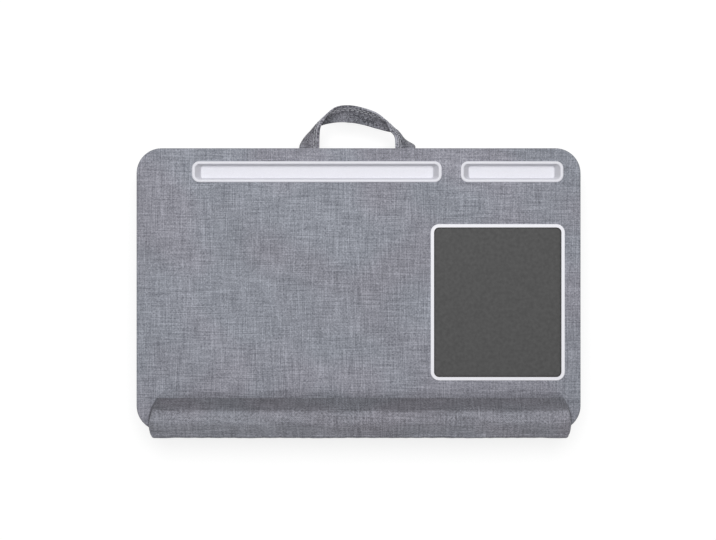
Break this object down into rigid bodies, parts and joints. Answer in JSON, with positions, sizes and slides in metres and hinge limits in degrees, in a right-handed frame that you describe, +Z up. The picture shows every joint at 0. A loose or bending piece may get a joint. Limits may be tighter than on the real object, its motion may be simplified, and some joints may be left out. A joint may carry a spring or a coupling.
{
  "type": "lap tray",
  "caption": "Fabric-covered lap tray with slot trays for a tablet and a phone, a framed leather mouse pad, a padded wrist rest, a carrying strap and a bolster cushion.",
  "frame": {"origin": "under the middle of the whole tray's outline, on the surface that the bolsters stand on", "axes": "+X to the right along the length, +Y to the rear where the carrying strap is, +Z up"},
  "size_m": [0.55, 0.4125, 0.0818],
  "materials": {
    "core_board": "matte",
    "tray_fabric": "matte",
    "liner_fabric": "matte",
    "white_plastic": "satin",
    "pad_leather": "satin",
    "soft_foam": "matte",
    "backing_plastic": "matte",
    "strap_fabric": "matte",
    "staple_steel": "satin",
    "hook_and_loop": "matte",
    "cushion_fabric": "matte",
    "soft_fill": "matte"
  },
  "bodies": {
    "tray": {"board_core": "core_board", "board_cover": "tray_fabric", "underside_liner": "liner_fabric", "tablet_tray": "white_plastic", "phone_tray": "white_plastic", "mouse_pad_frame": "white_plastic", "mouse_pad_leather": "pad_leather", "mouse_pad_foam": "soft_foam", "wrist_rest_cover": "tray_fabric", "wrist_rest_foam": "soft_foam", "wrist_rest_base": "backing_plastic", "handle_tabs": "strap_fabric", "handle_staples": "staple_steel", "hook_strips": "hook_and_loop", "loop_strips": "hook_and_loop", "cushion_top_panel": "cushion_fabric", "left_bolster_cover": "cushion_fabric", "right_bolster_cover": "cushion_fabric", "left_bolster_fill": "soft_fill", "right_bolster_fill": "soft_fill", "centre_panel": "cushion_fabric", "centre_foam": "soft_foam"},
    "handle": {"handle_strap": "strap_fabric"}
  },
  "joints": [
    {"name": "handle_swing", "type": "hinge", "parent": "tray", "child": "handle", "pos_m": [0, 0.15406, 0.05], "axis": [1, 0, 0], "range_deg": [-80, 85]}
  ]
}
